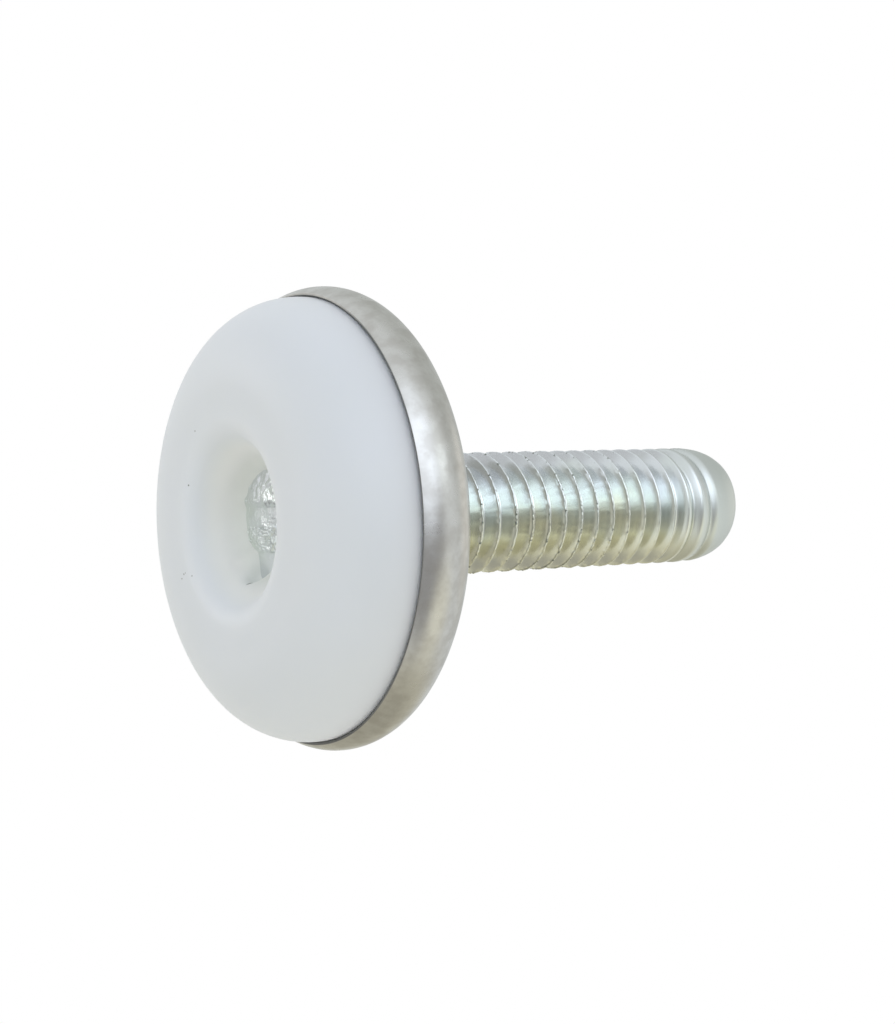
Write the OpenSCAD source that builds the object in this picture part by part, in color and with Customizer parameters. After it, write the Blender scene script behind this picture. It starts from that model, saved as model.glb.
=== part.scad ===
// Leveling foot: a bolt whose hex head is held between a pressed metal cup and a
// moulded pad, with the cup crimped in around the pad. Millimetres. It stands on its
// pad with +Z up along the stud, and the origin is the centre of the floor face.

/* [Pad] */
// Largest radius of the pad, just under the cup's rim
pad_r = 16.45; // [16.2:0.05:16.6]
// Radius of the long roll that leaves the floor face
roll_r = 7.3; // [6:0.1:7.5]
// Radius of the tighter roll that turns up to the rim
side_r = 5.4; // [4.8:0.1:5.5]
// Slope at which the long roll runs into the tighter one, in degrees
roll_meet = 35; // [30:1:40]
// Radius of the rounded lip around the centre recess
lip_r = 2; // [1.5:0.1:2.2]
// Radius of the recess where its cone leaves the lip
recess_r = 6.2; // [5.9:0.1:6.4]
// Slope of the recess's wall, in degrees off the axis
recess_slope = 38; // [20:1:40]
// Room between the pad's bead and the cup around it
bead_gap = 0.1; // [0.05:0.05:0.2]

/* [Cup] */
// Overall radius of the cup, over its rolled edge
cup_r = 17.28; // [17.1:0.02:17.5]
// Height of the cup's crimped rim above the floor
rim_z = 6; // [5.9:0.1:6.3]
// Outer radius of the half-round edge in section
edge_r = 3.1; // [2.9:0.1:3.2]
// Height of the cup's widest line above its rim
edge_rise = 1.85; // [1.6:0.05:2]
// Thickness of the pressed sheet
sheet = 0.9; // [0.7:0.1:1]

/* [Stud] */
// Major diameter of the 3/8 inch stud
stud_d = 9.525; // [9.3:0.005:9.525]
// Length of the stud under its head
stud_len = 36.05; // [25:0.05:70]
// How far the rounded point comes in from the stud's side
point_in = 1.8; // [1:0.1:3]
// Length of the rounded point
point_len = 3.7; // [2:0.1:4.5]
// Radius of the plain neck that passes through the cup
neck_r = 4.55; // [4.2:0.05:4.6]
// Width of the hex head across its flats
head_flats = 14.29; // [13:0.01:15]
// Height of the hex head
head_h = 6.2; // [5.5:0.05:6.4]

/* [Hidden] */
$fn = 96;

arc_step = 5;        // degrees from point to point along an arc in a profile
hole_gap = 0.14;     // room for the stud's thread in the cup's hole
neck_rise = 0.25;    // how far above the cup the thread starts
pocket_gap = 0.1;    // room around the head in the pad's hex pocket
rim_gap = 0.1;       // gap between the cup's rim and the pad's shoulder
seat_edge = 1;       // how far inside the bead the pad's flat top ends
face_land = 0.95;    // round face of the head, against its width across flats
face_slope = 30;     // chamfer between the head's face and its corners, in degrees

edge_c = [cup_r - edge_r, rim_z + edge_rise];   // centre of the half-round edge
rim_angle = -asin(edge_rise / edge_r);          // where the crimped rim ends on it
back_z = edge_c[1] + edge_r;                    // the cup's flat back
seat_z = back_z - sheet;                        // inside of it, where the head sits
face_z = seat_z - head_h;                       // the head's face, on the pad's web
tip_z = seat_z + stud_len;
floor_r = pad_r - roll_r * sin(roll_meet) - side_r * (1 - sin(roll_meet));
side_c = [pad_r - side_r, roll_r * (1 - cos(roll_meet)) + side_r * cos(roll_meet)];
lip_c = [recess_r + lip_r * cos(recess_slope), lip_r];
cone_z = lip_r * (1 - sin(recess_slope));       // where the lip runs into the cone
hole_r = recess_r - (face_z - cone_z) * tan(recess_slope);

// Points of an arc about c, from angle a0 to a1
function arc(c, r, a0, a1) =
    let (n = max(1, ceil(abs(a1 - a0) / arc_step)))
    [for (i = [0 : n]) let (a = a0 + (a1 - a0) * i / n) c + r * [cos(a), sin(a)]];

// Hex prism by its width across flats, standing on z
module hex(flats, z, h) {
    translate([0, 0, z])
    cylinder(r = flats / 2 / cos(30), h = h, $fn = 6);
}

// Moulded pad: rolled over at the floor, with a cone-shaped recess that opens on the
// bolt's head, a hex pocket for the head, and a bead that the cup is crimped around.
module pad() {
    bead = edge_r - sheet - bead_gap;
    neck = edge_c[0] + sqrt(bead * bead - pow(edge_rise + rim_gap, 2));
    neck_angle = asin((rim_z - rim_gap - edge_c[1]) / bead);
    color([0.83, 0.85, 0.86])
    difference() {
        rotate_extrude()
        polygon(concat(
            arc([floor_r, roll_r], roll_r, -90, roll_meet - 90),
            arc(side_c, side_r, roll_meet - 90, 0),
            [[pad_r, rim_z - rim_gap], [neck, rim_z - rim_gap]],
            arc(edge_c, bead, neck_angle, 90),
            [[edge_c[0] - seat_edge, seat_z], [hole_r, seat_z], [hole_r, face_z]],
            arc(lip_c, lip_r, 180 + recess_slope, 270)
        ));
        hex(head_flats + 2 * pocket_gap, face_z, head_h + 1);
    }
}

// Pressed cup: one sheet with a flat back, turned down in a half-round edge and
// crimped in under its widest line, with a hole that the stud passes through.
module cup() {
    r = stud_d / 2 + hole_gap;
    color([0.68, 0.66, 0.63])
    rotate_extrude()
    polygon(concat(
        arc(edge_c, edge_r, rim_angle, 90),
        [[r, back_z], [r, seat_z]],
        arc(edge_c, edge_r - sheet, 90, rim_angle)
    ));
}

// Bolt: the threaded length at its major diameter with a rounded point, a plain neck
// in the cup's hole, and a hex head chamfered down to a round face.
module stud() {
    r = stud_d / 2;
    land = face_land * head_flats / 2;
    corner = head_flats;
    color([0.74, 0.77, 0.75]) {
        rotate_extrude()
        polygon(concat(
            [[0, seat_z - 1], [neck_r, seat_z - 1],
             [neck_r, back_z + neck_rise], [r, back_z + neck_rise]],
            [for (a = [0 : arc_step : 90])
                [r - point_in * (1 - cos(a)), tip_z - point_len * (1 - sin(a))]],
            [[0, tip_z]]
        ));
        intersection() {
            hex(head_flats, face_z, head_h);
            rotate_extrude()
            polygon([
                [0, face_z], [land, face_z],
                [corner, face_z + (corner - land) * tan(face_slope)],
                [corner, seat_z], [0, seat_z]
            ]);
        }
    }
}

pad();
cup();
stud();
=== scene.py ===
"""Leveling foot: a bolt whose head is held between a pressed cup and a moulded pad.

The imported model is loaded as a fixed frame. Each of its three nodes is dressed by a
finer mesh of the same piece: the bolt with its real right-hand thread and forged
head, the pad with its rolled edge and recess, and the cup with its sheared rim.
"""

import logging
import math
from dataclasses import dataclass, field
from enum import Enum

import bmesh
import bpy
import numpy as np
from mathutils import Matrix, Vector, noise


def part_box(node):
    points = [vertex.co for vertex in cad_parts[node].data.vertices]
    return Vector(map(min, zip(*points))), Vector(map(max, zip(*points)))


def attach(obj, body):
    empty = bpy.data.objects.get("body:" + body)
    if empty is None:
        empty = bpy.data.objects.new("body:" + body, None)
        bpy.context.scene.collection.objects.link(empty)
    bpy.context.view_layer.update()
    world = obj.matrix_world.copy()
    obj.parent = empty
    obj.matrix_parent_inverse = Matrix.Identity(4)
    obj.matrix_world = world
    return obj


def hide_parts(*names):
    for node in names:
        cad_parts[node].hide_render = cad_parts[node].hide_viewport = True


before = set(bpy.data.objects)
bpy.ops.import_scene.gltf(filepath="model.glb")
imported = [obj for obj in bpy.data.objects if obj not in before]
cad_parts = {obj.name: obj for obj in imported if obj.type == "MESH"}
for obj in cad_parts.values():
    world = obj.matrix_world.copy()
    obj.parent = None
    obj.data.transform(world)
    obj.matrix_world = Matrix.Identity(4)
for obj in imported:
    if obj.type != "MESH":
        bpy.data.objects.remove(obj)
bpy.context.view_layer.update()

MM = 0.001  # one millimetre in metres
WELD = 0.0008 * MM  # points closer than this are one
BODY = "root"  # the row has no joint, so every piece rides on this body
LOG = logging.getLogger("leveling_foot")

SRGB_KNEE, SRGB_SLOPE = 0.04045, 12.92  # the straight start of the sRGB curve
SRGB_LIFT, SRGB_POWER = 0.055, 2.4  # the rest of it
NOISE_FADE = 1.0  # how much weaker each finer layer of noise is
NOISE_STEP = 2.0  # how much finer each layer is
FACTOR, FIRST, SECOND = 0, 6, 7  # sockets of a Mix node that is set to colour
FLAT = (1.0, 1.0, 0.0)  # takes the height out of a place

Point = tuple[float, float]
Triple = tuple[float, float, float]
Rgba = tuple[float, float, float, float]
Tree = bpy.types.NodeTree
Node = bpy.types.Node
Socket = bpy.types.NodeSocket
Feed = Node | Socket | float | Triple | Rgba
Coat = tuple[Feed, Rgba]


class Corner(Enum):
    """What a row of a turned mesh runs around."""

    ROUND = 0
    HEX = 1


def linear(code: str) -> Rgba:
    """Turns an sRGB hex colour, such as "#d4d9dc", into opaque linear values.

    Args:
        code: the colour.

    Returns:
        The red, green, blue and alpha that a Blender socket takes.
    """
    values = [int(code[i : i + 2], 16) / 255 for i in (1, 3, 5)]
    red, green, blue = (
        v / SRGB_SLOPE if v <= SRGB_KNEE else ((v + SRGB_LIFT) / (1 + SRGB_LIFT)) ** SRGB_POWER
        for v in values
    )
    return (red, green, blue, 1.0)


def tinted(code: str, level: float) -> Rgba:
    """The linear values of an sRGB hex colour, times a level."""
    red, green, blue, alpha = linear(code)
    return (red * level, green * level, blue * level, alpha)


def smooth(low: float, high: float, value: np.ndarray) -> np.ndarray:
    """Eases from 0 at low to 1 at high."""
    t = np.clip((value - low) / (high - low), 0.0, 1.0)
    return t * t * (3 - 2 * t)


def around(centre: Point, radius: float, angle: float) -> Point:
    """The point of a section at an angle in degrees on a circle."""
    a = math.radians(angle)
    return (centre[0] + radius * math.cos(a), centre[1] + radius * math.sin(a))


def arc(centre: Point, radius: float, start: float, end: float, step: float) -> list[Point]:
    """Points along an arc in the plane of a section.

    Args:
        centre: its centre, as distance from the axis and height.
        radius: its radius.
        start: the angle of its first point, in degrees.
        end: the angle of its last point, in degrees.
        step: the most degrees from one point to the next.

    Returns:
        The points, both ends included.
    """
    count = max(1, math.ceil(abs(end - start) / step))
    return [around(centre, radius, start + (end - start) * i / count) for i in range(count + 1)]


def line(start: Point, end: Point, count: int) -> list[Point]:
    """Points along a straight line in a section, without its ends."""
    parts = [(i + 1) / (count + 1) for i in range(count)]
    return [tuple(s + (e - s) * part for s, e in zip(start, end)) for part in parts]


def add_node(tree: Tree, kind: str, feeds: dict[str | int, Feed], **settings: str) -> Node:
    """Adds a node to a tree with its settings and links.

    Args:
        tree: the tree that takes the node.
        kind: the node's Blender type.
        feeds: what each input gets: a value, an output socket, or a node, which
            stands for its first output in use.
        settings: the node's own properties.

    Returns:
        The new node.
    """
    node = tree.nodes.new(kind)
    for name, value in settings.items():
        setattr(node, name, value)
    for name, value in feeds.items():
        if isinstance(value, Node):
            value = next(output for output in value.outputs if output.enabled)
        if isinstance(value, Socket):
            tree.links.new(value, node.inputs[name])
        else:
            node.inputs[name].default_value = value
    return node


def from_axis(tree: Tree, place: Socket) -> Node:
    """How far the place is from the stud's axis, in metres."""
    flat = add_node(tree, "ShaderNodeVectorMath", {0: place, 1: FLAT}, operation="MULTIPLY")
    return add_node(tree, "ShaderNodeVectorMath", {0: flat}, operation="LENGTH")


def ramp(node: Node, stops: list[tuple[float, Rgba]]) -> Node:
    """Sets a colour ramp's stops.

    Args:
        node: a colour ramp node, as it comes with two stops.
        stops: each stop's place, from 0 to 1, and its colour, in rising order.

    Returns:
        The same node.
    """
    elements = node.color_ramp.elements
    for place, _ in stops[2:]:
        elements.new(place)
    for element, (place, colour) in zip(elements, stops):
        element.position = place
        element.color = colour
    return node


def between(low: float, high: float, scale: float = 1.0) -> dict[str, float]:
    """The feeds of a range that runs from low to high, in units of the scale."""
    return {"From Min": low * scale, "From Max": high * scale}


def paint(tree: Tree, tone: Feed, coats: list[Coat]) -> Feed:
    """Lays colours over a tone in turn, each as far as its part says.

    Args:
        tree: the tree that takes the nodes.
        tone: the colour underneath.
        coats: the part, from 0 to 1, and the colour of each coat.

    Returns:
        The node that gives the colour on top.
    """
    for part, colour in coats:
        tone = add_node(
            tree, "ShaderNodeMix", {FACTOR: part, FIRST: tone, SECOND: colour}, data_type="RGBA"
        )
    return tone


def blank_material(name: str) -> tuple[bpy.types.Material, Tree]:
    """Makes a material with nothing in it.

    Args:
        name: the material's name.

    Returns:
        The material and its empty node tree.
    """
    material = bpy.data.materials.new(name)
    material.use_nodes = True
    material.node_tree.nodes.clear()
    return material, material.node_tree


def put(name: str, data: bpy.types.ID) -> bpy.types.Object:
    """Makes an object and puts it in the scene.

    Args:
        name: the object's name.
        data: its mesh, lamp or camera.

    Returns:
        The new object.
    """
    made = bpy.data.objects.new(name, data)
    bpy.context.scene.collection.objects.link(made)
    return made


def hide(piece: bpy.types.Object, rays: tuple[str, ...]) -> None:
    """Keeps an object from showing to these kinds of ray."""
    for ray in rays:
        setattr(piece, f"visible_{ray}", False)


def skin(
    name: str, patches: list[np.ndarray], loop: bool, sharp: float, sharp_top: float = math.inf
) -> bpy.types.Object:
    """Makes an object from rows of points that run around the stud's axis.

    The columns run anticlockwise from above, so the faces look outward where the rows
    go up. Rows that meet, and the first and last column, are welded, so a row of equal
    points becomes a pole and a clamped helix ends in a plain ring.

    Args:
        name: the object's name.
        patches: grids of points in millimetres, each as rows by columns by 3.
        loop: whether each patch's last row is joined to its first, as on a ring.
        sharp: edges that turn more than these degrees are left hard.
        sharp_top: the height in millimetres over which no edge is left hard.

    Returns:
        The new object, linked to the scene.
    """
    points, quads, base = [], [], 0
    for rows in patches:
        count, width = rows.shape[:2]
        first = np.arange(count if loop else count - 1)
        column = np.arange(width - 1)
        low = (base + first[:, None] * width + column[None, :]).ravel()
        high = (base + ((first + 1) % count)[:, None] * width + column[None, :]).ravel()
        quads += np.stack([low, low + 1, high + 1, high], axis=1).tolist()
        points += (rows.reshape(-1, 3) * MM).tolist()
        base += count * width
    mesh = bpy.data.meshes.new(name)
    mesh.from_pydata(points, [], quads)
    shape = bmesh.new()
    shape.from_mesh(mesh)
    bmesh.ops.remove_doubles(shape, verts=shape.verts, dist=WELD)
    for face in shape.faces:
        face.smooth = True
    for edge in shape.edges:
        under = edge.verts[0].co.z <= sharp_top * MM
        edge.smooth = not (under and edge.calc_face_angle(0.0) > math.radians(sharp))
    shape.to_mesh(mesh)
    shape.free()
    return put(name, mesh)


def turn(section: list[Point], columns: int, corners: list[Corner] | None = None) -> np.ndarray:
    """Turns a section about the stud's axis.

    Args:
        section: distance from the axis and height of each row, in millimetres. Where a
            row is hexagonal, the distance is that of its flats.
        columns: how many steps go round.
        corners: what each row runs around, or None where all are round.

    Returns:
        The rows of points, with the first column repeated as the last.
    """
    angle = np.linspace(0, 2 * math.pi, columns + 1)
    sixth = math.pi / 3
    # the flats lie across Y, so the corners lie on X
    fold = np.abs((angle + sixth / 2) % sixth - sixth / 2)
    reaches = {Corner.ROUND: np.ones_like(angle), Corner.HEX: np.cos(sixth / 2 - fold)}
    kinds = corners or [Corner.ROUND] * len(section)
    rows = np.zeros((len(section), columns + 1, 3))
    for row, (radius, height), kind in zip(rows, section, kinds):
        reach = radius / reaches[kind]
        row[:, 0] = reach * np.cos(angle)
        row[:, 1] = reach * np.sin(angle)
        row[:, 2] = height
    return rows


@dataclass(frozen=True)
class Pattern:
    """A noise pattern of a finish: the width of one bump and how its finer layers go."""

    size_mm: float
    detail: float
    roughness: float

    def at(self, place: Socket) -> dict[str, Feed]:
        """What a noise node gets to draw the pattern at a place."""
        return {
            "Vector": place,
            "Scale": 1 / (self.size_mm * MM),
            "Detail": self.detail,
            "Roughness": self.roughness,
        }


@dataclass(frozen=True)
class Relief:
    """The fine relief of a finish: its pattern, how strongly it shows, and its height."""

    pattern: Pattern
    strength: float
    height_mm: float

    def shade(self, tree: Tree, place: Socket, feeds: dict[str, Feed]) -> None:
        """Ends a material with a shader that has this relief.

        Args:
            tree: the material's nodes.
            place: the place on the piece, in metres.
            feeds: what else the shader gets.
        """
        height = add_node(tree, "ShaderNodeTexNoise", self.pattern.at(place))
        bump = add_node(
            tree, "ShaderNodeBump",
            {"Height": height, "Strength": self.strength, "Distance": self.height_mm * MM},
        )
        shader = add_node(tree, "ShaderNodeBsdfPrincipled", {**feeds, "Normal": bump})
        add_node(tree, "ShaderNodeOutputMaterial", {"Surface": shader})


@dataclass(frozen=True)
class Bumps:
    """Fractal noise over a mesh.

    It has the width of one bump in millimetres, a seed that shifts it, so that two
    uses differ, and the number of its layers.
    """

    size: float
    seed: float
    layers: int

    def at(self, points: np.ndarray) -> np.ndarray:
        """The noise at each point of an array.

        Args:
            points: places in millimetres, any shape that ends in 3.

        Returns:
            One value for each point, from about -1 to 1.
        """
        flat = points.reshape(-1, 3) / self.size + self.seed
        values = [noise.fractal(Vector(p), NOISE_FADE, NOISE_STEP, self.layers) for p in flat]
        return np.array(values).reshape(points.shape[:-1])


@dataclass(frozen=True)
class NaturalPolyethylene:
    """Natural polyethylene, injection moulded.

    Unfilled and undyed, it is milky: light goes a little way in, so its shadows are soft,
    and the skin that the mould leaves is smooth but waxy and not polished. The recess is
    painted paler, as painted light against its shade, and where the wall thins out over
    metal it is painted grey-green, for the metal that would show through.
    """

    body: str = "#d9dee2"
    shade: str = "#d7dcde"
    # painted light: a paler recess, and a paler grey-green thin edge where the metal would show
    # through
    recess: str = "#e6e9e6"
    thin: str = "#dde1dc"
    speck: str = "#55584f"
    roughness: float = 0.46
    ior: float = 1.51
    depth: float = 1.0  # how much of the light goes into a thick wall
    reach_mm: float = 3.0  # how far it goes, in red, green and blue times the next
    reach_tint: Triple = (1.0, 1.0, 0.95)
    cloud: Pattern = Pattern(8.0, 2.0, 0.5)
    ripple: Relief = Relief(Pattern(1.6, 3.0, 0.55), 0.1, 0.02)
    # heights of the painted light in the recess and of the painted grey-green thin edge
    painted_light_recess_mm: Point = (0.3, 2.0)  # the heights between which the recess turns pale
    painted_light_thin_mm: Point = (1.9, 3.3)  # and those between which its wall thins out
    bore_mm: float = 7.2  # the recess lies within this of the axis
    # dark specks: X, Y and radius
    specks_mm: tuple[Triple, ...] = (
        (-2.75, 6.4, 0.08), (-6.78, 4.76, 0.08), (3.95, 7.25, 0.09), (4.05, 6.05, 0.07),
        (4.3, 7.6, 0.08), (3.85, 7.0, 0.06), (4.6, 1.75, 0.14),
    )
    speck_core: float = 0.4  # the part of a speck's radius that is fully dark

    def build(self) -> bpy.types.Material:
        """Makes the material.

        Returns:
            The material, for the pad.
        """
        material, tree = blank_material("NaturalPolyethylene")
        place = add_node(tree, "ShaderNodeTexCoord", {}).outputs["Object"]
        cloud = add_node(tree, "ShaderNodeTexNoise", self.cloud.at(place))
        coats = [(cloud, linear(self.shade))]
        # painted light: the recess is painted paler down to its thin edge, standing for light that
        # comes through the wall, against the shade in the recess
        height = add_node(tree, "ShaderNodeSeparateXYZ", {"Vector": place}).outputs["Z"]
        inside = add_node(
            tree, "ShaderNodeMath", {0: from_axis(tree, place), 1: self.bore_mm * MM},
            operation="LESS_THAN",
        )
        for (low, high), colour in ((self.painted_light_recess_mm, self.recess), (self.painted_light_thin_mm, self.thin)):
            deep = add_node(
                tree, "ShaderNodeMapRange",
                {"Value": height, **between(low, high, MM)},
                interpolation_type="SMOOTHSTEP",
            )
            part = add_node(tree, "ShaderNodeMath", {0: deep, 1: inside}, operation="MULTIPLY")
            coats.append((part, linear(colour)))
        # near that edge less light leaks out of the back of the wall
        solid = add_node(tree, "ShaderNodeMath", {0: self.depth, 1: part}, operation="SUBTRACT")
        flat = add_node(tree, "ShaderNodeVectorMath", {0: place, 1: FLAT}, operation="MULTIPLY")
        for x, y, radius in self.specks_mm:
            away = add_node(
                tree, "ShaderNodeVectorMath", {0: flat, 1: (x * MM, y * MM, 0.0)},
                operation="DISTANCE",
            )
            mark = add_node(
                tree, "ShaderNodeMapRange",
                {"Value": away, **between(radius, self.speck_core * radius, MM)},
            )
            coats.append((mark, linear(self.speck)))
        self.ripple.shade(
            tree, place,
            {
                "Base Color": paint(tree, linear(self.body), coats),
                "Roughness": self.roughness,
                "IOR": self.ior,
                "Subsurface Weight": solid,
                "Subsurface Radius": self.reach_tint,
                "Subsurface Scale": self.reach_mm * MM,
            },
        )
        return material


@dataclass(frozen=True)
class SatinNickelPlate:
    """Nickel electroplate over pressed steel, satin.

    Nickel is a warm grey metal. The sheet under it was drawn and then barrelled, so
    its reflections are broad and slightly mottled.
    """

    bright: str = "#cfcdc9"
    dull: str = "#c2bfba"
    # dark sheared edge: bare steel, and painted shade of the seam between cup and pad
    edge: str = "#8d8c88"
    roughness: Point = (0.35, 0.26)  # of the dull and of the bright patches
    mottle: Pattern = Pattern(1.4, 3.0, 0.6)
    mottle_tones: Point = (0.38, 0.58)  # the noise at which a patch is dull and is bright
    mottle_gloss: Point = (0.3, 0.7)  # and the same for its roughness
    peel: Relief = Relief(Pattern(0.6, 2.0, 0.5), 0.7, 0.012)
    sheared_mm: Point = (16.71, 6.8)  # the edge's reach from the axis and top
    sheared_blur_mm: float = 0.02

    def build(self) -> bpy.types.Material:
        """Makes the material.

        Returns:
            The material, for the cup.
        """
        material, tree = blank_material("SatinNickelPlate")
        place = add_node(tree, "ShaderNodeTexCoord", {}).outputs["Object"]
        mottle = add_node(tree, "ShaderNodeTexNoise", self.mottle.at(place))
        tones = (linear(self.dull), linear(self.bright))
        tone = ramp(
            add_node(tree, "ShaderNodeValToRGB", {"Fac": mottle}),
            list(zip(self.mottle_tones, tones)),
        )
        # the sheared edge is painted dark: bare steel where the plate is thin, and painted shade of
        # the seam between cup and pad
        reach, top = self.sheared_mm
        height = add_node(tree, "ShaderNodeSeparateXYZ", {"Vector": place}).outputs["Z"]
        low = add_node(tree, "ShaderNodeMath", {0: height, 1: top * MM}, operation="LESS_THAN")
        blur = self.sheared_blur_mm
        sheared = add_node(
            tree, "ShaderNodeMapRange",
            {"Value": from_axis(tree, place), "To Max": low,
             **between(reach + blur, reach - blur, MM)},
        )
        gloss = add_node(
            tree, "ShaderNodeMapRange",
            {"Value": mottle, **between(*self.mottle_gloss),
             "To Min": self.roughness[0], "To Max": self.roughness[1]},
        )
        tone = paint(tree, tone, [(sheared, linear(self.edge))])
        self.peel.shade(tree, place, {"Base Color": tone, "Metallic": 1.0, "Roughness": gloss})
        return material


@dataclass(frozen=True)
class ClearZincPlate:
    """Clear-passivated zinc electroplate over a rolled thread.

    The passivation film tints the bright metal, from pale blue-grey through pale green
    to straw, in broad soft areas. Blue is laid towards -X and straw towards +X, which
    is also painted reflection of the cool and the warm sides around the foot. The seam
    that rolling leaves along the crests holds dark specks, most near the head.
    """

    blue: str = "#e2e5e7"
    green: str = "#e3e9e3"
    straw: str = "#f1f0dc"
    # dark pits, and the painted shade under the crests
    pit: str = "#7c8177"
    cut: str = "#d2d6d2"
    roughness: Point = (0.24, 0.42)  # of the rolled flanks and of the cut point
    film: Pattern = Pattern(5.0, 2.0, 0.5)
    film_middle: float = 0.5  # the noise that leaves the tint as it is
    # painted reflection: the tints follow the side, cool towards -X and warm towards +X
    tint_reach_mm: float = 4.8  # the X at which the tints are blue (-) and straw (+)
    tint_stops: Triple = (0.2, 0.45, 0.75)  # where blue, green and straw lie between them
    shank_mm: float = 10.0  # the height at which the head's tint gives way to the stud's
    head_tint_mm: float = 1.9  # the head has the tint of the stud this far towards -X
    crest_mm: float = 4.7625
    crest_band_mm: Point = (0.16, 0.05)  # how far under the crest the pits start and are full
    marks_mm: Point = (38.0, 30.0)  # the heights at which the marks start and are full
    fleck: Pattern = Pattern(0.3, 2.0, 0.5)
    fleck_span: Point = (0.6, 0.7)  # the noise at which a pit starts and is full
    # painted shade in a line under each crest's folded lip: its reach, darkest line, patches,
    # strength and side
    fold_mm: float = 0.5  # how far under the crest the folded metal reaches
    fold_stops: Triple = (0.68, 0.85, 0.96)  # its start, darkest line and end along that
    fold_span: Point = (0.35, 0.6)  # the film's noise at which it starts and is full
    fold_most: float = 0.7
    fold_side_mm: Point = (-3.0, -1.6)  # the X at which it starts and is full
    scratch: Relief = Relief(Pattern(0.35, 3.0, 0.6), 0.3, 0.01)
    point_mm: Point = (38.0, 44.0)  # the heights between which the finish is the point's

    def film_and_reflection_tint(self, tree: Tree, axes: Node, film: Node) -> Node:
        """Tints the bright metal across the stud: uneven film, with painted reflection, blue
        towards -X and straw towards +X.

        Args:
            tree: the material's nodes.
            axes: the node that gives the place's X and Z.
            film: the noise that makes the tint uneven.

        Returns:
            The node that gives the tint.
        """
        shank = add_node(
            tree, "ShaderNodeMath", {0: axes.outputs["Z"], 1: self.shank_mm * MM},
            operation="GREATER_THAN",
        )
        side = add_node(
            tree, "ShaderNodeMath", {0: axes.outputs["X"], 1: self.head_tint_mm * MM},
            operation="ADD",
        )
        side = add_node(
            tree, "ShaderNodeMath", {0: side, 1: shank, 2: -self.head_tint_mm * MM},
            operation="MULTIPLY_ADD",
        )
        # painted reflection: blue on the -X side, straw on the +X side
        across = add_node(
            tree, "ShaderNodeMapRange",
            {"Value": side, **between(-self.tint_reach_mm, self.tint_reach_mm, MM)},
        )
        uneven = add_node(
            tree, "ShaderNodeMath", {0: film, 1: self.film_middle}, operation="SUBTRACT"
        )
        mixed = add_node(tree, "ShaderNodeMath", {0: across, 1: uneven}, operation="ADD")
        tints = (linear(self.blue), linear(self.green), linear(self.straw))
        return ramp(
            add_node(tree, "ShaderNodeValToRGB", {"Fac": mixed}), list(zip(self.tint_stops, tints))
        )

    def marks(self, tree: Tree, place: Socket, axes: Node, film: Node) -> list[Coat]:
        """Specks the crests with pits, and paints shade as a dark line on the folded metal under
        them here and there.

        Args:
            tree: the material's nodes.
            place: the place on the stud, in metres.
            axes: the node that gives its X and Z.
            film: the noise that makes the painted shade under the crests come and go.

        Returns:
            The coats of dark pits and of painted shade.
        """
        reach = from_axis(tree, place)
        start, full = (self.crest_mm - under for under in self.crest_band_mm)
        crest = add_node(tree, "ShaderNodeMapRange", {"Value": reach, **between(start, full, MM)})
        fleck = add_node(tree, "ShaderNodeTexNoise", self.fleck.at(place))
        pits = add_node(tree, "ShaderNodeMapRange", {"Value": fleck, **between(*self.fleck_span)})
        under = add_node(
            tree, "ShaderNodeMapRange",
            {"Value": reach, **between(self.crest_mm - self.fold_mm, self.crest_mm, MM)},
        )
        # painted shade: a dark line just under each crest, where its folded lip overhangs, fading
        # out towards -X
        black, white = linear("#000000"), linear("#ffffff")
        fold_shade = ramp(
            add_node(tree, "ShaderNodeValToRGB", {"Fac": under}),
            list(zip(self.fold_stops, (black, white, black))),
        )
        patchy = add_node(
            tree, "ShaderNodeMapRange",
            {"Value": film, **between(*self.fold_span), "To Max": self.fold_most},
        )
        side = add_node(
            tree, "ShaderNodeMapRange",
            {"Value": axes.outputs["X"], **between(*self.fold_side_mm, MM), "To Max": patchy},
        )
        low = add_node(
            tree, "ShaderNodeMapRange", {"Value": axes.outputs["Z"], **between(*self.marks_mm, MM)}
        )
        coats = []
        for part, where in ((pits, crest), (fold_shade, side)):
            there = add_node(tree, "ShaderNodeMath", {0: where, 1: low}, operation="MULTIPLY")
            part = add_node(tree, "ShaderNodeMath", {0: part, 1: there}, operation="MULTIPLY")
            coats.append((part, linear(self.pit)))
        return coats

    def build(self) -> bpy.types.Material:
        """Makes the material.

        Returns:
            The material, for the bolt.
        """
        material, tree = blank_material("ClearZincPlate")
        place = add_node(tree, "ShaderNodeTexCoord", {}).outputs["Object"]
        axes = add_node(tree, "ShaderNodeSeparateXYZ", {"Vector": place})
        film = add_node(tree, "ShaderNodeTexNoise", self.film.at(place))
        # the point was cut before plating, so it is duller and rougher than the rolled flanks
        point = add_node(
            tree, "ShaderNodeMapRange", {"Value": axes.outputs["Z"], **between(*self.point_mm, MM)}
        )
        coats = self.marks(tree, place, axes, film) + [(point, linear(self.cut))]
        tint = paint(tree, self.film_and_reflection_tint(tree, axes, film), coats)
        gloss = add_node(
            tree, "ShaderNodeMapRange",
            {"Value": point, "To Min": self.roughness[0], "To Max": self.roughness[1]},
        )
        self.scratch.shade(tree, place, {"Base Color": tint, "Metallic": 1.0, "Roughness": gloss})
        return material


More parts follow.
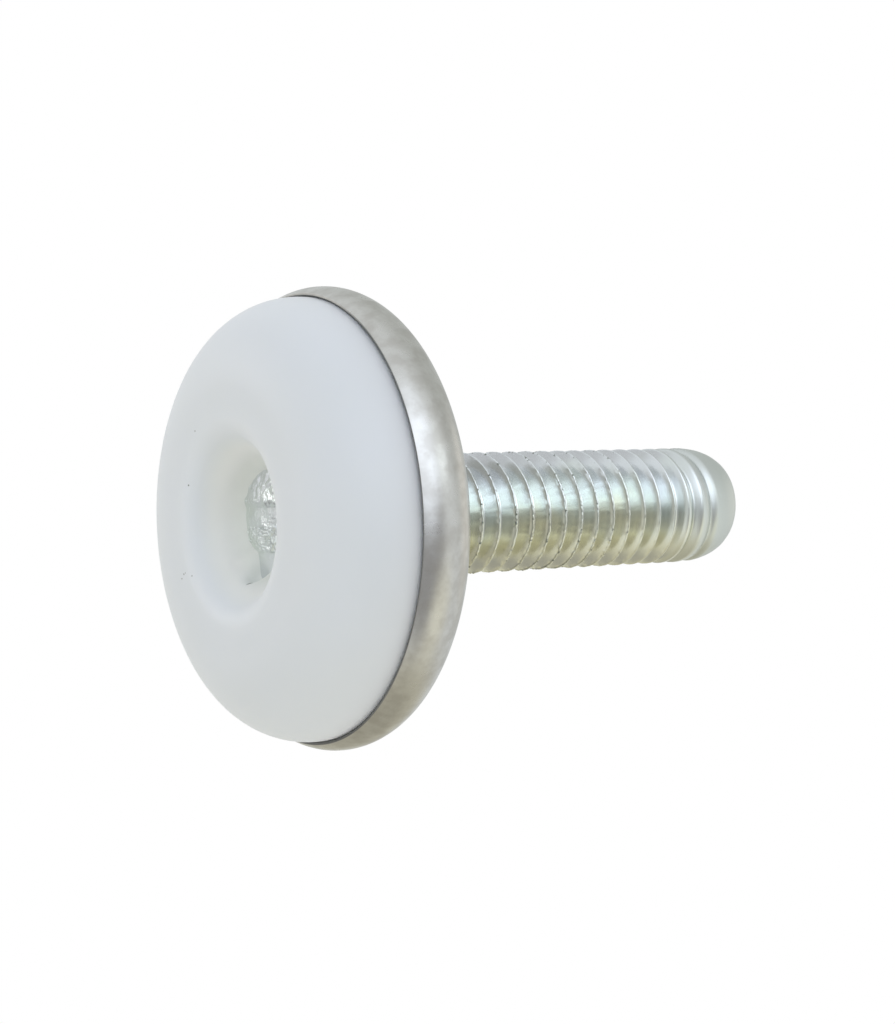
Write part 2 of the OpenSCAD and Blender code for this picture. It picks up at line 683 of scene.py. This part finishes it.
@dataclass(frozen=True)
class Ridge:
    """A soft ridge along a straight stretch of the head's face, in millimetres."""

    start: Point
    end: Point
    half_width: float
    height: float

    def at(self, x: np.ndarray, y: np.ndarray) -> np.ndarray:
        """Height of the ridge.

        Args:
            x: the first coordinate of each point.
            y: the second coordinate of each point.

        Returns:
            The ridge's height at each point.
        """
        run, rise = self.end[0] - self.start[0], self.end[1] - self.start[1]
        along = ((x - self.start[0]) * run + (y - self.start[1]) * rise) / (run**2 + rise**2)
        along = np.clip(along, 0, 1)
        away = np.hypot(x - self.start[0] - along * run, y - self.start[1] - along * rise)
        return self.height * np.exp(-((away / self.half_width) ** 2))


@dataclass(frozen=True)
class Strip:
    """A strip across the head's face with a relief of its own, in millimetres."""

    start: float  # the X at which it starts
    full: float  # and at which it has taken over
    crumple: float  # heights of the broad and of the fine folds
    crease: float
    tilt: float  # its slope along X
    hinge: float  # the X at which the slope adds nothing

    def part(self, x: np.ndarray) -> np.ndarray:
        """How much of the strip there is at each X."""
        return smooth(self.start, self.full, x)

    def lift(self, x: np.ndarray, crumpled: np.ndarray, fine: np.ndarray) -> np.ndarray:
        """The strip's own relief at each point."""
        relief = self.crumple * crumpled + self.crease * fine + self.tilt * (x - self.hinge)
        return self.part(x) * relief


@dataclass(frozen=True)
class ForgedFace:
    """The face of the head, crumpled where the forging die pinched it.

    The crumpled metal stands proud of a plain ledge on one side. It has a bright strip
    and a rough one, and between them fine lines that the die left. The lengths are in
    millimetres.
    """

    ledge: Point = (2.45, 2.15)  # the X at which the crumpled metal starts and is full
    ledge_edge: Bumps = Bumps(0.5, 17.0, 1)
    ledge_waver: float = 0.1
    ledge_lift: float = 0.015
    bright: Strip = Strip(-0.9, -1.5, 0.13, 0.01, 0.14, -2.4)
    rough: Strip = Strip(0.2, 0.7, 0.05, 0.08, -0.08, 0.5)
    coarse: Bumps = Bumps(0.9, 38.0, 2)
    crumpled: Bumps = Bumps(0.62, 50.0, 1)
    fine: Bumps = Bumps(0.2, 58.0, 2)
    proud: float = 0.16
    coarse_lift: float = 0.05
    fine_lift: float = 0.03
    line_pitch: float = 0.32
    line_lift: float = 0.004
    line_side: Point = (1.2, 0.2)  # the Y at which the lines start and are full
    ridges: tuple[Ridge, ...] = (
        Ridge((0.45, -0.6), (1.95, 1.6), 0.14, 0.2),
        Ridge((1.5, -0.45), (2.35, 0.35), 0.12, 0.18),
        Ridge((0.55, 1.4), (0.6, 2.0), 0.08, -0.12),
    )

    def relief(self, rows: np.ndarray) -> np.ndarray:
        """How far each point of the flat face is moved out of it.

        Args:
            rows: the points of the flat face.

        Returns:
            The height of the relief at each point.
        """
        x, y = rows[..., 0], rows[..., 1]
        patch = smooth(*self.ledge, x + self.ledge_waver * self.ledge_edge.at(rows))
        coarse = self.coarse.at(rows)
        crumpled, fine = np.abs(self.crumpled.at(rows)), np.abs(self.fine.at(rows))
        lines = np.sin(x * 2 * math.pi / self.line_pitch) * smooth(*self.line_side, y)
        lines = lines * (1 - self.bright.part(x)) * (1 - self.rough.part(x))
        lift = self.proud + self.coarse_lift * coarse + self.line_lift * lines
        lift += self.bright.lift(x, crumpled, fine)
        lift += self.rough.lift(x, crumpled, fine) + self.fine_lift * fine
        lift += sum(ridge.at(x, y) for ridge in self.ridges)
        return patch * lift + (1 - patch) * self.ledge_lift * coarse


@dataclass(frozen=True)
class CrestWear:
    """How ragged rolling leaves a thread's crests, in millimetres.

    They wander and break up near the head, and less so towards the point and on the
    side that faces -X.
    """

    ragged: Bumps = Bumps(0.24, 17.0, 2)
    ragged_reach: float = 0.05
    sunk: float = 0.02
    wander: Bumps = Bumps(0.4, 26.0, 2)
    wander_rise: float = 0.065
    gentle: Bumps = Bumps(2.5, 21.0, 1)
    gentle_reach: float = 0.008
    gentle_from: float = 1.0  # distance from the axis
    crest_part: float = 0.43  # a crest is this part of a pitch and more from the root
    crest_depth: float = 0.1  # and less than this under the full radius
    point_side: Point = (29, 38)  # the heights between which the wear falls off
    point_loss: float = 0.75  # and the part of it that is lost
    neck_length: float = 0.4
    tip_length: float = 1.0
    plain_side: Point = (-2.5, -3.8)  # the X between which it falls off
    plain_loss: float = 0.7


@dataclass
class Bolt:
    """The stud: a bolt with a rolled right-hand thread and a forged hex head.

    The lengths are in millimetres and the heights are those above the floor.
    """

    finish: ClearZincPlate = field(default_factory=ClearZincPlate)
    wear: CrestWear = field(default_factory=CrestWear)
    forged: ForgedFace = field(default_factory=ForgedFace)
    radius: float = 4.7625
    pitch: float = 1.5875
    flank_angle: float = 60.0  # of both flanks, from the axis, in degrees
    crest_width: float = 0.09
    crest_mark: float = 28.84  # height of one crest on the side that faces -Y
    mark_turn: float = 0.25  # the part of a turn from that side on to +X
    # rows of one turn, as parts of a pitch from its crest
    row_parts: tuple[float, ...] = (
        -0.13, -0.09, -0.05, -0.025, 0.0, 0.03, 0.4, 0.46, 0.54, 0.6, 0.74,
    )
    groove_depth: float = 1.12
    groove_clear: float = 0.12  # how far the groove has risen clear where it ends
    fade_in: float = 0.5  # turns in which the groove reaches its depth
    fade_out: Point = (38.0, 44.3)
    point_in: float = 1.8
    point_length: float = 3.7
    neck_radius: float = 4.55
    neck_top: float = 11.2
    neck_ease: Point = (0.12, 0.1)  # how far under and over that the neck widens
    head_flats: float = 14.29
    head_height: float = 6.2
    face_land: float = 0.95
    face_slope: float = 30.0
    face_fine: float = 4.9  # the part of the face's radius with fine rings
    face_rings: int = 76
    face_outer: float = 5.6  # the ring after those
    columns: int = 240
    sharp: float = 50.0
    seat_margin: float = 0.01

    def __post_init__(self) -> None:
        """Reads the head's face and the tip from the frame."""
        low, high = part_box("stud")
        self.face = low.z / MM
        self.tip = high.z / MM
        self.seat = self.face + self.head_height

    def groove(self, part: np.ndarray) -> np.ndarray:
        """Depth of the full thread below its crest.

        Args:
            part: how far along a pitch each point is, from 0 at a crest to 1.

        Returns:
            The depth at each point, in millimetres.
        """
        tilt = math.radians(self.flank_angle)
        steep = math.tan(tilt)
        half = self.pitch / 2
        away = half - np.abs(part - 0.5) * self.pitch
        # the round root that meets both flanks squarely
        root = steep * (half - self.crest_width / 2) - self.groove_depth
        middle = half - away
        floor = self.groove_depth - root + np.sqrt(np.maximum(root**2 - middle**2, 0))
        flank = np.maximum(away - self.crest_width / 2, 0) * steep
        return np.where(middle < root * math.sin(tilt), floor, flank)

    def outline(self, along: np.ndarray) -> tuple[np.ndarray, np.ndarray]:
        """Outline of the plain bolt, followed from the seat over the point.

        Args:
            along: distance along the outline, equal to the height on the straight part.

        Returns:
            The distance from the axis and the height of each point.
        """
        straight = self.tip - self.point_length
        bend = np.clip((along - straight) / self.bend_length(), 0, 1) * math.pi / 2
        over = np.clip(along - straight - self.bend_length(), 0, self.radius - self.point_in)
        radius = self.radius - self.point_in * (1 - np.cos(bend)) - over
        height = np.minimum(along, straight) + self.point_length * np.sin(bend)
        under, above = self.neck_ease
        rise = smooth(self.neck_top - under, self.neck_top + above, height)
        neck = self.neck_radius + rise * (self.radius - self.neck_radius)
        return np.minimum(radius, neck), height

    def bend_length(self) -> float:
        """About the length of the point's rounding, along its surface."""
        return math.hypot(self.point_in, self.point_length) * math.pi / (2 * math.sqrt(2))

    def thread_rows(self) -> np.ndarray:
        """Follows the thread's helix from the seat to the middle of the tip.

        Returns:
            The rows of points.
        """
        end = self.tip - self.point_length + self.bend_length() + self.radius - self.point_in
        turns = math.ceil((end - self.seat) / self.pitch) + 1
        angle = np.linspace(0, 2 * math.pi, self.columns + 1)
        start = self.crest_mark + self.pitch * self.mark_turn
        start -= self.pitch * (math.ceil((start - self.seat) / self.pitch) + 1)
        row_part = np.array([n + p for n in range(turns + 1) for p in self.row_parts])
        along = start + self.pitch * (row_part[:, None] + angle[None, :] / (2 * math.pi))
        along = np.clip(along, self.seat, end)
        part = np.broadcast_to(row_part[:, None] % 1, along.shape)
        radius, height = self.outline(along)
        # the groove rises out of the stud above the neck and towards the point
        middle = along + (0.5 - part) * self.pitch
        lowest = math.ceil((self.crest_mark - self.neck_top) / self.pitch) - 1
        first = self.crest_mark - self.pitch * (self.mark_turn + lowest)
        rise = np.maximum(
            1 - (middle - first) / (self.fade_in * self.pitch),
            (middle - self.fade_out[0]) / (self.fade_out[1] - self.fade_out[0]),
        )
        rise = np.clip(rise, 0, 1) * (self.groove_depth + self.groove_clear)
        depth = np.maximum(self.groove(part) - rise, 0)
        radius = np.minimum(radius, self.radius - depth)
        return self.roughen(radius, angle, height, part)

    def roughen(
        self, radius: np.ndarray, angle: np.ndarray, height: np.ndarray, part: np.ndarray
    ) -> np.ndarray:
        """Makes the thread's crests ragged, as rolling leaves them.

        Args:
            radius: distance of each point from the axis.
            angle: angle of each column.
            height: height of each point.
            part: how far along a pitch each point is.

        Returns:
            The rows of points.
        """
        wear = self.wear
        turned = np.stack([np.cos(angle), np.sin(angle)], axis=-1)[None, :, :]
        points = np.concatenate([radius[..., None] * turned, height[..., None]], axis=-1)
        crest = np.abs(part - 0.5) > wear.crest_part
        crest = crest & (radius > self.radius - wear.crest_depth)
        worn = 1 - wear.point_loss * smooth(*wear.point_side, height)
        worn = worn * smooth(self.neck_top, self.neck_top + wear.neck_length, height)
        worn = worn * (height < self.tip - wear.tip_length)
        worn = worn * (1 - wear.plain_loss * smooth(*wear.plain_side, points[..., 0]))
        ragged, wander = wear.ragged.at(points), wear.wander.at(points)
        gentle = wear.gentle.at(points) * (radius > wear.gentle_from)
        shift = np.where(crest, worn * (wear.ragged_reach * ragged - wear.sunk), 0)
        shift = shift + wear.gentle_reach * gentle
        points[..., :2] += shift[..., None] * turned
        points[..., 2] += np.where(crest, wear.wander_rise * worn * wander, 0)
        return points

    def face_rows(self) -> np.ndarray:
        """Covers the head's face.

        Returns:
            The rows of points, from the middle out.
        """
        rings = [self.face_fine * i / self.face_rings for i in range(self.face_rings + 1)]
        rings += [self.face_outer, self.face_land * self.head_flats / 2]
        rows = turn([(r, self.face) for r in rings], self.columns)
        rows[..., 2] -= self.forged.relief(rows)
        return rows

    def side_rows(self) -> np.ndarray:
        """Goes from the edge of the head's face over its flats to the seat.

        Returns:
            The rows of points.
        """
        flats = self.head_flats / 2
        land = self.face_land * flats
        section = [
            (land, self.face), (flats, self.face), (flats, self.seat), (self.neck_radius, self.seat)
        ]
        corners = [Corner.ROUND, Corner.HEX, Corner.HEX, Corner.ROUND]
        rows = turn(section, self.columns, corners)
        reach = np.hypot(rows[1, :, 0], rows[1, :, 1])
        rows[1, :, 2] = self.face + (reach - land) * math.tan(math.radians(self.face_slope))
        return rows

    def build(self) -> bpy.types.Object:
        """Makes the bolt and puts it in place of its node.

        Returns:
            The bolt.
        """
        patches = [self.face_rows(), self.side_rows(), self.thread_rows()]
        piece = skin("bolt", patches, False, self.sharp, self.seat + self.seat_margin)
        piece.data.materials.append(self.finish.build())
        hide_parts("stud")
        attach(piece, BODY)
        return piece


@dataclass
class Pad:
    """The moulded pad: rolled over at the floor, with a cone-shaped recess."""

    finish: NaturalPolyethylene = field(default_factory=NaturalPolyethylene)
    roll_radius: float = 7.3
    side_radius: float = 5.4
    roll_meet: float = 35.0
    lip_radius: float = 2.0
    recess_radius: float = 6.2
    recess_slope: float = 38.0
    rim_gap: float = 0.01
    bead_gap: float = 0.1
    bead_lap: float = 1.0  # how far the flat top runs in from the bead's top
    pocket_flats: float = 14.49
    # where the recess's edge is torn: angle about the axis, spread and shift outward
    tears: tuple[Triple, ...] = ((25, 9, 1.0), (49, 8, -0.35), (135, 30, 0.25))
    tear_from: float = 2.0  # the height at which the torn edge starts
    waver: Bumps = Bumps(1.4, 5.0, 2)
    waver_reach: float = 0.08
    roll_step: float = 1.5  # degrees from row to row round each curve
    side_step: float = 2.0
    bead_step: float = 10.0
    cone_rows: int = 26
    floor_rows: int = 14
    columns: int = 288
    sharp: float = 50.0

    def __post_init__(self) -> None:
        """Reads the pad's reach and the heights around it from the frame."""
        low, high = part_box("pad")
        self.radius = high.x / MM
        self.top = high.z / MM
        self.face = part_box("stud")[0].z / MM
        self.cup = Cup()

    def shoulder(self) -> list[Point]:
        """Follows the cup's slanted cut from the pad's side to the bead.

        Returns:
            The two ends of the shoulder.
        """
        edge, bead = self.cup.edge_centre(), self.bead_radius()
        cut = math.radians(self.cup.cut_angle())
        along, off = (math.cos(cut), math.sin(cut)), (math.sin(cut), -math.cos(cut))
        start = (self.radius - self.rim_gap * off[0] - edge[0]) / along[0]
        return [
            tuple(e + reach * a + self.rim_gap * o for e, a, o in zip(edge, along, off))
            for reach in (start, bead)
        ]

    def bead_radius(self) -> float:
        """Radius of the bead that fills the inside of the cup's edge."""
        return self.cup.edge_radius - self.cup.sheet - self.bead_gap

    def section(self) -> tuple[list[Point], list[Corner]]:
        """The pad's section, once round.

        Returns:
            The section's points, and what the row of each runs around.
        """
        meet = math.radians(self.roll_meet)
        floor = self.radius - self.roll_radius * math.sin(meet)
        floor -= self.side_radius * (1 - math.sin(meet))
        side = (self.radius - self.side_radius,
                self.roll_radius * (1 - math.cos(meet)) + self.side_radius * math.cos(meet))
        slope = math.radians(self.recess_slope)
        lip = (self.recess_radius + self.lip_radius * math.cos(slope), self.lip_radius)
        cone = (self.recess_radius, self.lip_radius * (1 - math.sin(slope)))
        hole = (cone[0] - (self.face - cone[1]) * math.tan(slope), self.face)
        edge = self.cup.edge_centre()
        roll_end = self.roll_meet - 90
        round_part = (
            arc((floor, self.roll_radius), self.roll_radius, -90, roll_end, self.roll_step)
            + arc(side, self.side_radius, roll_end, 0, self.side_step)[1:]
            + self.shoulder()
            + arc(edge, self.bead_radius(), self.cup.cut_angle(), 90, self.bead_step)[1:]
            + [(edge[0] - self.bead_lap, self.top)]
        )
        pocket = self.pocket_flats / 2
        hex_part = [(pocket, self.top), (pocket, self.face)]
        recess = (
            [hole]
            + line(hole, cone, self.cone_rows)
            + arc(lip, self.lip_radius, 180 + self.recess_slope, 270, self.side_step)
            + line((lip[0], 0), (floor, 0), self.floor_rows)
        )
        kinds = [Corner.ROUND] * len(round_part) + [Corner.HEX] * 2 + [Corner.ROUND] * len(recess)
        return round_part + hex_part + recess, kinds

    def build(self) -> bpy.types.Object:
        """Makes the pad and puts it in place of its node.

        Returns:
            The pad.
        """
        section, kinds = self.section()
        rows = turn(section, self.columns, kinds)
        # the thin edge of the recess is torn: it has a notch, and flash beside that
        x, y, z = rows[..., 0], rows[..., 1], rows[..., 2]
        reach = np.hypot(x, y)
        angle = np.degrees(np.arctan2(y, x))
        bore = smooth(self.tear_from, self.face, z) * (reach < self.recess_radius)
        waver = self.waver_reach * self.waver.at(rows)
        for middle, spread, shift in self.tears:
            waver += shift * np.exp(-(((angle - middle) / spread) ** 2))
        rows[..., :2] *= (1 + bore * waver / reach)[..., None]
        piece = skin("moulded_pad", [rows], True, self.sharp)
        piece.data.materials.append(self.finish.build())
        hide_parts("pad")
        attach(piece, BODY)
        return piece


@dataclass
class Cup:
    """The pressed cup: flat back, half-round edge, rim crimped in under it."""

    finish: SatinNickelPlate = field(default_factory=SatinNickelPlate)
    edge_radius: float = 3.1
    edge_rise: float = 1.85
    sheet: float = 0.9
    hole_radius: float = 4.9025
    hole_margin: float = 0.3
    deburr: float = 0.08
    outer_step: float = 2.5  # degrees from row to row round each curve
    inner_step: float = 6.0
    back_rows: int = 12
    inside_rows: int = 5
    columns: int = 256
    sharp: float = 40.0

    def __post_init__(self) -> None:
        """Reads the cup's box from the frame."""
        low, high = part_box("cup")
        self.radius = high.x / MM
        self.rim = low.z / MM
        self.back = high.z / MM

    def edge_centre(self) -> Point:
        """Centre of the half-round edge in the section."""
        return (self.radius - self.edge_radius, self.rim + self.edge_rise)

    def cut_angle(self) -> float:
        """Angle in degrees at which the half-round edge is cut off at the rim."""
        return -math.degrees(math.asin(self.edge_rise / self.edge_radius))

    def section(self) -> list[Point]:
        """The cup's section, once round.

        Returns:
            The section's points.
        """
        edge, cut, burr = self.edge_centre(), self.cut_angle(), self.deburr
        trimmed = cut + math.degrees(burr / self.edge_radius)
        inner, hole = self.edge_radius - self.sheet, self.hole_radius
        inside = self.back - self.sheet
        return (
            [around(edge, self.edge_radius - burr, cut)]
            + arc(edge, self.edge_radius, trimmed, 90, self.outer_step)
            + line((edge[0], self.back), (hole + self.hole_margin, self.back), self.back_rows)
            + [(hole + burr, self.back), (hole, self.back - burr), (hole, inside)]
            + line((hole, inside), (edge[0], inside), self.inside_rows)
            + arc(edge, inner, 90, trimmed, self.inner_step)
            + [around(edge, inner + burr, cut)]
        )

    def build(self) -> bpy.types.Object:
        """Makes the cup and puts it in place of its node.

        Returns:
            The cup.
        """
        rows = turn(self.section(), self.columns)
        piece = skin("pressed_cup", [rows], True, self.sharp)
        piece.data.materials.append(self.finish.build())
        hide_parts("cup")
        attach(piece, BODY)
        return piece


@dataclass(frozen=True)
class Lobe:
    """A part of the tent that is lighter or darker than the rest.

    It lies in one direction from the foot, as wide as its reach in degrees, and its
    edge is soft over the blur on either side.
    """

    toward: Triple
    reach: float
    blur: float
    level: float
    tint: str = "#ffffff"


@dataclass(frozen=True)
class PaperTent:
    """A paper tent around the foot, seen only in reflections.

    It is pale, with a bright opening in front and a dark gap beside that, a warm side,
    and a small bright opening behind. These give the bright metal its bands and the
    flanks of the thread their lights.
    """

    base: float = 0.89
    base_tint: str = "#f8fdff"
    lobes: tuple[Lobe, ...] = (
        Lobe((-0.42, 0.20, 0.88), 42, 22, 0.62, "#fafffc"),
        Lobe((-0.60, 0.66, -0.45), 18, 8, 0.62, "#fbfdff"),
        Lobe((0.94, 0.34, 0.03), 47, 14, 0.61, "#fffce6"),
        Lobe((0.93, 0.36, 0.05), 26, 12, 0.48, "#fffce8"),
        Lobe((0.29, -0.90, -0.31), 37, 6, 0.37, "#fcfdff"),
        Lobe((-0.47, -0.83, -0.30), 23, 17, 1.97, "#ecf4ff"),
        Lobe((-0.42, -0.80, 0.42), 9, 7, 1.65, "#f4fcff"),
        Lobe((0.66, -0.65, 0.37), 16, 14, 0.95, "#fffff0"),
        Lobe((0.00, 0.00, 1.00), 17, 10, 0.92, "#fffffa"),
        Lobe((0.00, 0.83, -0.56), 22, 8, 0.76),
        Lobe((0.46, 0.73, -0.50), 18, 8, 0.32),
        Lobe((-0.30, 0.79, -0.535), 8, 4, 2.50),
    )
    radius: float = 0.6
    fineness: int = 4
    unseen: tuple[str, ...] = ("camera", "diffuse", "transmission", "volume_scatter", "shadow")

    def build(self) -> None:
        """Makes the tent."""
        material, tree = blank_material("PaperTent")
        place = add_node(tree, "ShaderNodeTexCoord", {}).outputs["Object"]
        away = add_node(tree, "ShaderNodeVectorMath", {0: place}, operation="NORMALIZE")
        coats = []
        for lobe in self.lobes:
            toward = tuple(Vector(lobe.toward).normalized())
            facing = add_node(
                tree, "ShaderNodeVectorMath", {0: away, 1: toward}, operation="DOT_PRODUCT"
            )
            outer = math.radians(lobe.reach + lobe.blur)
            inner = math.radians(max(lobe.reach - lobe.blur, 0))
            inside = add_node(
                tree, "ShaderNodeMapRange",
                {"Value": facing, **between(math.cos(outer), math.cos(inner))},
                interpolation_type="SMOOTHSTEP",
            )
            coats.append((inside, tinted(lobe.tint, lobe.level)))
        tone = paint(tree, tinted(self.base_tint, self.base), coats)
        light = add_node(tree, "ShaderNodeEmission", {"Color": tone, "Strength": 1.0})
        add_node(tree, "ShaderNodeOutputMaterial", {"Surface": light})
        material.cycles.emission_sampling = "NONE"
        mesh = bpy.data.meshes.new("tent")
        shape = bmesh.new()
        bmesh.ops.create_icosphere(shape, subdivisions=self.fineness, radius=self.radius)
        shape.to_mesh(mesh)
        shape.free()
        mesh.materials.append(material)
        tent = put("tent", mesh)
        hide(tent, self.unseen)


@dataclass
class Studio:
    """Pale floor, plain soft light and the camera. The lengths are in metres."""

    tent: PaperTent = field(default_factory=PaperTent)
    floor_tone: str = "#f2f2f2"
    floor_side: float = 8.0
    floor_unseen: tuple[str, ...] = ("shadow", "diffuse", "glossy", "transmission")
    sky_strength: float = 0.90
    sky_tint: str = "#fffdf9"
    seen_sky: str = "#ffffff"
    lamp_side: float = 0.45
    lamp_place: Triple = (-0.55, -0.42, -0.20)
    lamp_watts: float = 0.8
    lamp_tint: str = "#9abbff"
    lens_mm: float = 72.92
    sensor_mm: float = 36.0
    clip_start: float = 0.01
    camera_right: Triple = (0.02618, -0.5591, 0.82868)
    camera_up: Triple = (-0.9995, 0.0, 0.03158)
    camera_back: Triple = (-0.01766, -0.8291, -0.55883)
    camera_mm: Triple = (-2.99, -133.75, -70.89)

    def build_camera(self) -> None:
        """Places the camera, which looks up at the foot from beside and below it."""
        data = bpy.data.cameras.new("camera")
        data.lens = self.lens_mm
        data.sensor_width = self.sensor_mm
        data.clip_start = self.clip_start
        camera = put("camera", data)
        turned = Matrix((self.camera_right, self.camera_up, self.camera_back)).transposed()
        camera.matrix_world = Matrix.Translation(Vector(self.camera_mm) * MM) @ turned.to_4x4()
        bpy.context.scene.camera = camera

    def build_floor(self) -> None:
        """A pale sheet that shows only from above, so the camera sees past it."""
        material, tree = blank_material("PaleFloor")
        side = add_node(tree, "ShaderNodeNewGeometry", {}).outputs["Backfacing"]
        paper = add_node(
            tree, "ShaderNodeBsdfDiffuse", {"Color": linear(self.floor_tone), "Roughness": 1.0}
        )
        clear = add_node(tree, "ShaderNodeBsdfTransparent", {})
        seen = add_node(tree, "ShaderNodeMixShader", {0: side, 1: paper, 2: clear})
        add_node(tree, "ShaderNodeOutputMaterial", {"Surface": seen})
        half = self.floor_side / 2
        corners = [(-half, -half, 0), (half, -half, 0), (half, half, 0), (-half, half, 0)]
        mesh = bpy.data.meshes.new("floor")
        mesh.from_pydata(corners, [], [(0, 1, 2, 3)])
        mesh.materials.append(material)
        floor = put("floor", mesh)
        hide(floor, self.floor_unseen)

    def build_world(self) -> None:
        """A white surround: full white where it is looked at, less as a light."""
        world = bpy.data.worlds.new("surround")
        bpy.context.scene.world = world
        world.use_nodes = True
        tree = world.node_tree
        tree.nodes.clear()
        path = add_node(tree, "ShaderNodeLightPath", {})
        seen = path.outputs["Is Camera Ray"]
        for ray in ("Is Glossy Ray", "Is Transmission Ray"):
            seen = add_node(
                tree, "ShaderNodeMath", {0: seen, 1: path.outputs[ray]}, operation="MAXIMUM"
            )
        sky = tinted(self.sky_tint, self.sky_strength)
        tone = paint(tree, sky, [(seen, linear(self.seen_sky))])
        light = add_node(tree, "ShaderNodeBackground", {"Color": tone, "Strength": 1.0})
        add_node(tree, "ShaderNodeOutputWorld", {"Surface": light})

    def build_lamp(self) -> None:
        """A large soft lamp in front, which shows only in how it lights."""
        data = bpy.data.lights.new("softbox", "AREA")
        data.shape = "SQUARE"
        data.size = self.lamp_side
        data.energy = self.lamp_watts
        data.color = linear(self.lamp_tint)[:3]
        lamp = put("softbox", data)
        place = Vector(self.lamp_place)
        turned = place.to_track_quat("Z", "Y").to_matrix().to_4x4()
        lamp.matrix_world = Matrix.Translation(place) @ turned
        hide(lamp, ("glossy",))

    def build(self) -> None:
        """Sets the whole stage."""
        bpy.context.scene.view_settings.view_transform = "Standard"
        self.build_camera()
        self.build_floor()
        self.build_world()
        self.build_lamp()
        self.tent.build()


def main() -> None:
    """Builds the stage and the pieces in order."""
    logging.basicConfig(level=logging.INFO, format="%(name)s: %(message)s")
    Studio().build()
    for maker in (Bolt(), Pad(), Cup()):
        piece = maker.build()
        LOG.info("%s: %d faces", piece.name, len(piece.data.polygons))


if __name__ == "__main__":
    main()
